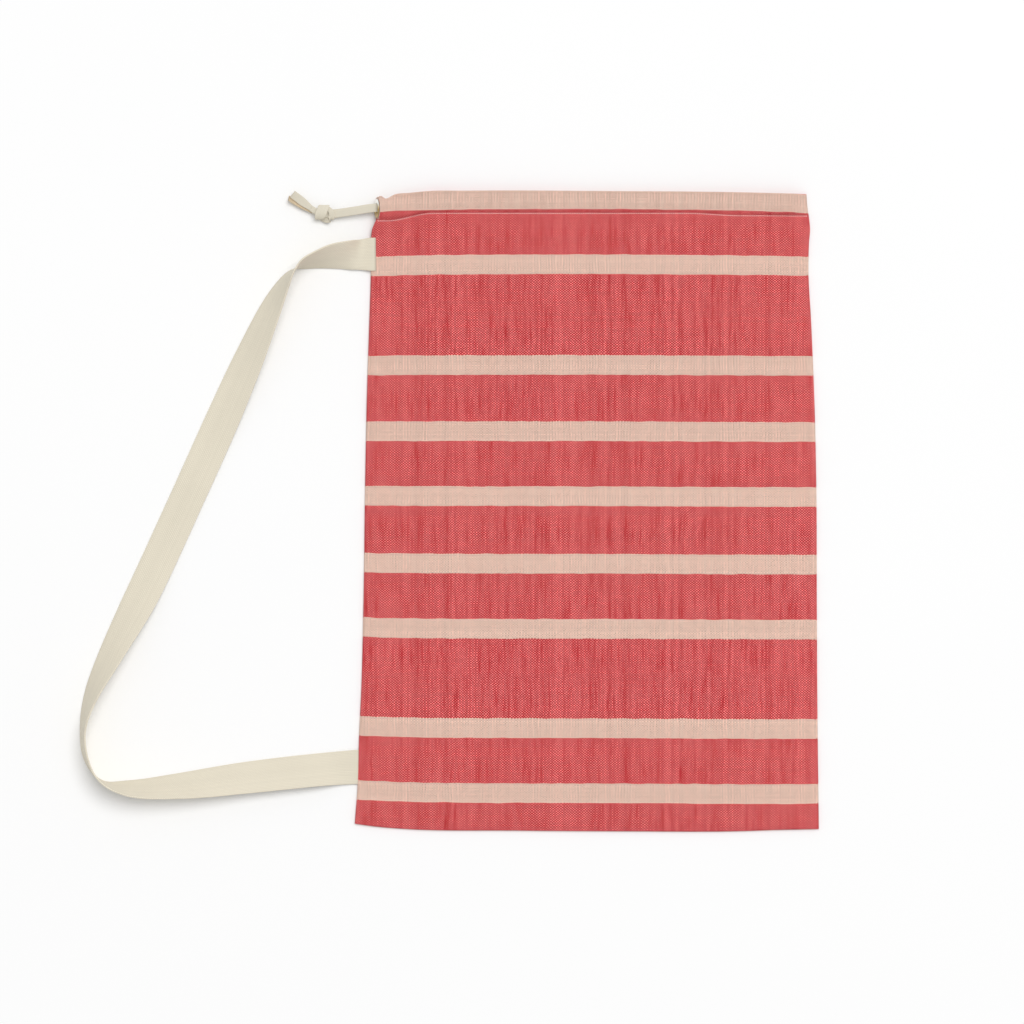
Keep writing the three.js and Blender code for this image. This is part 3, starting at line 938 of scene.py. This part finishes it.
def build_hidden_runs(material):
    """The length of each strand inside the casing that comes out when the drawstring is pulled."""
    runs = []
    for name, lift, height in (("upper", STRAND_RISE, 10.1), ("lower", -STRAND_RISE, 9.05)):
        route = [
            (-73.9, 335.9, 11.2 + lift),
            (-60, 335.6, 11.2 + lift),
            (-20, 335.5, height),
            (60, 335.5, height),
            (228, 335.5, height),
        ]
        runs.append(flat_tape("drawstring_" + name + "_run", route, material, 60, RUN_WIDTH, 1.0)[0])
    return runs


def build_casing_run(material):
    """The rest of the tape: along the front of the casing, round at its right end and back."""
    y, turn = CASING_RUN_Y, CASING_RUN_TURN
    route = [
        (231, 336.4, 10.3), (260, 339, 10.4), (300, y, 10.4), (turn - 20, y, 10.4), (turn - 10, y, 10.3),
        (turn - 2.5, y, 9.0), (turn, y, 6.0), (turn - 2.5, y, 3.0), (turn - 10, y, 1.7),
        (turn - 20, y, 1.6), (180, y, 1.6), (0, y, 1.6), (-30, y, 1.6),
    ]
    middles, _ = spline(route, 160)
    return add_ribbon("drawstring_casing_run", middles, (0, 1, 0), TAPE_WIDTH, 1.1, material)


# ---- Knot: an overhand knot tied in both tapes ----
KNOT = np.array([-141.2, 330.4])


def build_knot_core(material):
    """The ends inside the wrap."""
    cores = []
    steps = 16
    for name, lift in (("upper", 1.0), ("lower", -1.0)):
        route = [
            (-134, 329.4, 6.7 + lift),
            (-140, 330, 6.9 + lift),
            (-147, 332, 6.5 + lift),
            (-153, 335.4, 6.0 + lift),
        ]
        middles, _ = spline(route, steps)
        scales = np.linspace(0.95, 0.66, steps)
        name = "knot_core_" + name
        cores.append(add_ribbon(name, middles, (0.35, 0.9, 0), TAPE_WIDTH, 1.5, material, scales))
    return cores


def build_knot_wrap(material):
    """The turn round the ends: wide over the top and narrow where it comes round below."""
    steps = 64
    angles = np.linspace(-0.75 * math.pi, 1.15 * math.pi, steps)
    advance = np.linspace(-2.1, 2.1, steps)
    y = KNOT[1] + 0.6 + 7.6 * np.sin(angles)
    x = KNOT[0] + 0.4 + 0.3 * (y - KNOT[1]) + advance
    z = 6.75 + 5.0 * np.cos(angles)
    sides = rows_of(1.0, -0.28 * np.cos(angles), 0.18 * np.sin(angles))
    scales = lerp(0.78, 1.28, smooth((np.cos(angles - 0.35) + 0.6) / 1.5))
    return add_ribbon("knot_wrap", rows_of(x, y, z), sides, TAPE_WIDTH, 1.3, material, scales)


def build_knot_bight(material):
    """The part that comes out of the wrap below and turns back under the standing ends."""
    steps = 40
    route = [
        (-143.5, 325.2, 3.6), (-138, 323, 4.6), (-133.2, 322.8, 6.4),
        (-129.8, 326, 8.2), (-130.6, 331.6, 9.2), (-135, 336.2, 8.4),
    ]
    middles, _ = spline(route, steps)
    sides = np.linspace((0.2, 0.75, 0.6), (1.0, 0.1, -0.25), steps)
    scales = lerp(0.5, 0.74, np.sin(np.linspace(0, math.pi, steps)))
    return add_ribbon("knot_bight", middles, sides, TAPE_WIDTH, 1.3, material, scales)


def build_tail(name, route, twist, widest, material):
    """A loose end: twist is how far its width tips up, at its start and at its tip."""
    steps = 30
    middles, _ = spline(route, steps)
    along = np.gradient(middles, axis=0)
    tip = np.linspace(*twist, steps) * np.linalg.norm(along, axis=1)
    sides = rows_of(along[:, 1], -along[:, 0], -tip)
    scales = widest * lerp(0.62, 1.0, smooth(np.linspace(0, 1, steps) / 0.6))
    return add_ribbon(name, middles, sides, TAPE_WIDTH, TAPE_THICKNESS, material, scales)


def build_tails(material, tape_painted_in_shade):
    upper = [
        (-150.5, 334.0, 7.3),
        (-155, 337.2, 7.0),
        (-162, 342.6, 6.6),
        (-168, 347.2, 7.2),
        (-173.4, 351.2, 8.4),
    ]
    lower = [
        (-150.5, 332.2, 5.2),
        (-156, 335, 4.6),
        (-164, 339.4, 3.4),
        (-172, 343.6, 3.6),
        (-177.6, 346.8, 5.6),
    ]
    return [
        build_tail("drawstring_upper_tail_end", upper, (0.05, -0.35), 1.0, material),
        # The lower tail lies under the upper one, and its tape is painted darker and tan as the shade it
        # lies in.
        build_tail("drawstring_lower_tail_end", lower, (0.1, 1.3), 0.9, tape_painted_in_shade),
    ]


# ---- Shoulder strap ----
SIDE_STEP = 0.4  # the strap's edges are laid out from this far outside its hinge
LAP_LOW, LAP_HIGH = 266.2, 302.9
TUCK_LOW, TUCK_HIGH = -265, -303


def hinge_x(y):
    return HINGE_X_AT_ZERO + HINGE_LEAN * y


# Each row is a point on the lower or inner edge of the strap and the one across from it.
STRAP_STATIONS = [
    (hinge_x(LAP_LOW) - SIDE_STEP, LAP_LOW, hinge_x(LAP_HIGH) - SIDE_STEP, LAP_HIGH),
    (-108, 268.5, -111, 298.9),
    (-128, 269.5, -130.5, 295.0),
    (-148, 269.5, -148, 286.4),
    (-161, 268.8, -160, 279.0),
    (-173, 267.3, -168, 268),
    (-184, 260, -173, 256),
    (-205, 234, -184.5, 222.5),
    (-234, 181, -206.5, 161.5),
    (-272, 101, -238.5, 83),
    (-308, 21, -273.5, 5.5),
    (-357, -85, -321.5, -98.5),
    (-388, -156.5, -364, -169),
    (-403, -200, -388.5, -209.5),
    (-408.7, -238.5, -400.5, -241),
    (-405, -274, -398.5, -271),
    (-386.5, -299, -386, -297.8),
    (-353, -299.5, -357, -314.5),
    (-298.5, -290.7, -296, -318),
    (-225, -278, -220, -312.5),
    (-143, -268.5, -140.5, -304.7),
    (hinge_x(TUCK_LOW) - SIDE_STEP, TUCK_LOW, hinge_x(TUCK_HIGH) - SIDE_STEP, TUCK_HIGH),
]


def height_on_bag(x, y):
    """Height of the middle of the strap where it lies on the front cloth."""
    x = np.maximum(x, left_edge(y) + 2.5)
    return front_height(x, y) + 0.5 + STRAP_THICKNESS / 2


def lap_climb(x, y):
    """Share of the climb on to the bag, which starts outside its left edge."""
    return smooth((x - left_edge(y) + 22) / 27)


def climb_on_bag(x, y, height):
    """The height of a place on the strap once its upper end is laid over the bag."""
    raised = np.maximum(height_on_bag(x, y), height)
    return np.where(y > 240, lerp(height, raised, lap_climb(x, y)), height)


def strap_edges():
    """The strap's two edges as rows of points, between its two hinges. Where the photo shows it
    narrower than it is, one edge stands up from the floor."""
    stations = np.array(STRAP_STATIONS)
    low = centripetal(stations[:, :2], 14)
    high = centripetal(stations[:, 2:], 14)
    seen = np.minimum(np.linalg.norm(high - low, axis=1), STRAP_WIDTH)
    t = np.linspace(0, 1, len(low))
    ends = 1 - smooth(np.minimum(t, 1 - t) / 0.06)
    lying = STRAP_THICKNESS / 2 * (0.15 + 0.85 * seen / STRAP_WIDTH)
    low_z = lerp(lying, HINGE_HEIGHT, ends)
    standing = running_mean(np.sqrt(STRAP_WIDTH ** 2 - seen ** 2), 8)
    high_z = low_z + standing * (1 - ends)
    low_z = climb_on_bag(low[:, 0], low[:, 1], low_z)
    high_z = climb_on_bag(high[:, 0], high[:, 1], high_z)
    return np.column_stack([low, low_z]), np.column_stack([high, high_z])


def lapped_edge(y):
    """Points of the upper end at one of its edges, from its tip out to the hinge."""
    x = hinge_x(y) - SIDE_STEP + np.array([6.6, 5.8, 4.8, 3.8, 2.8, 1.8, 0.8])
    z = lerp(HINGE_HEIGHT, height_on_bag(x, y), lap_climb(x, y))
    return rows_of(x, y, z)


def tucked_edge(y):
    """Points of the lower end at one of its edges, from the hinge in between the panels."""
    x = hinge_x(y) + np.linspace(1.2, 14, 7)
    return rows_of(x, y, HINGE_HEIGHT)


def build_strap(material):
    """The strap in one piece: the upper end laps over the front of the bag, and the lower end
    goes in between the panels. Its object and its length."""
    low, high = strap_edges()
    low = np.vstack([lapped_edge(LAP_LOW), low, tucked_edge(TUCK_LOW)])
    high = np.vstack([lapped_edge(LAP_HIGH), high, tucked_edge(TUCK_HIGH)])
    rows, length = spline(np.concatenate([(low + high) / 2, high - low], axis=1), 420)
    middles, sides = rows[:, :3], rows[:, 3:]
    sewn = 12
    inside = slice(sewn, len(middles) - sewn)
    softened = np.stack([running_mean(column, 3) for column in middles.T], axis=1)
    middles[inside] = softened[inside]
    widths = np.clip(np.linalg.norm(sides, axis=1) / STRAP_WIDTH, 0.6, 1)
    obj = add_ribbon("webbing_strap", middles, sides, STRAP_WIDTH, STRAP_THICKNESS, material, widths)
    return obj, length


# ---- Everything together ----
add_camera()
cloth = cloth_material()
webbing = ribbed_material("cotton_webbing", 0.00175, 0.0026, (0.80, 0.738, 0.60), 0.80, 0.02)
tape = ribbed_material("cotton_tape", 0.0011, 0.0016, (0.77, 0.715, 0.59), 0.78, 0.03)
# The lower tail's tape: painted darker and tan, as the shade under the upper tail.
shade_painted_tape = ribbed_material("shade_painted_cotton_tape", 0.0011, 0.0016, (0.66, 0.53, 0.36), 0.78, 0.10)
thread = thread_material()
brass = brass_material()

upper, lower = build_strands(tape)
hidden_runs = build_hidden_runs(tape)
casing_run = build_casing_run(tape)
knot_cores = build_knot_core(tape)
knot_wrap = build_knot_wrap(tape)
knot_bight = build_knot_bight(tape)
tails = build_tails(tape, shade_painted_tape)
knotted = [*knot_cores, knot_wrap, knot_bight, *tails]
for (obj, middles, length), node, others in (
    (upper, "drawstring_upper_strand", knotted),
    (lower, "drawstring_lower_strand", []),
):
    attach(obj, "drawstring")
    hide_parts(node)
for obj in knotted + hidden_runs:
    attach(obj, "drawstring")
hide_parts("drawstring_knot")
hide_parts("drawstring_upper_tail")
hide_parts("drawstring_lower_tail")

front, back = build_panels(cloth)
end_cloth = build_casing_end(cloth)
flange = build_flange(brass)
backing = build_backing(brass)
stitches = build_stitches(thread)
strap, strap_length = build_strap(webbing)

for obj, material_slot, cad_nodes in (
    (front, "cloth", ("front_panel", "front_casing_hem")),
    (back, "cloth", ("back_panel", "back_casing_hem")),
    (end_cloth, "cloth", ("casing_end_wall",)),
    (flange, "brass", ("eyelet_barrel",)),
    (backing, "brass", ("eyelet_washer",)),
    (casing_run, "tape", ("drawstring_loop",)),
    (strap, "webbing", ("shoulder_strap", "strap_tab_top", "strap_tab_bottom")),
):
    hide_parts(*cad_nodes)
for obj, line in zip(stitches, ("front_casing", "back_casing", "left_seam", "right_seam", "bottom_seam")):
    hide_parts(line + "_stitching")

for obj in (end_cloth, flange, backing):
    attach(obj, "bag")

# The panels, the casing run and the stitches have their placement baked into their meshes.
for obj in (front, back, casing_run, *stitches):
    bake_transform(obj)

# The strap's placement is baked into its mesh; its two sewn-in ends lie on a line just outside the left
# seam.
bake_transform(strap)

add_floor()
add_world(0.55)
add_light("softbox", (5.0, 8.0, 23.5), 16.6, 3767, aim=(0.1, 0.1, 0))
bpy.context.scene.view_settings.view_transform = "Standard"
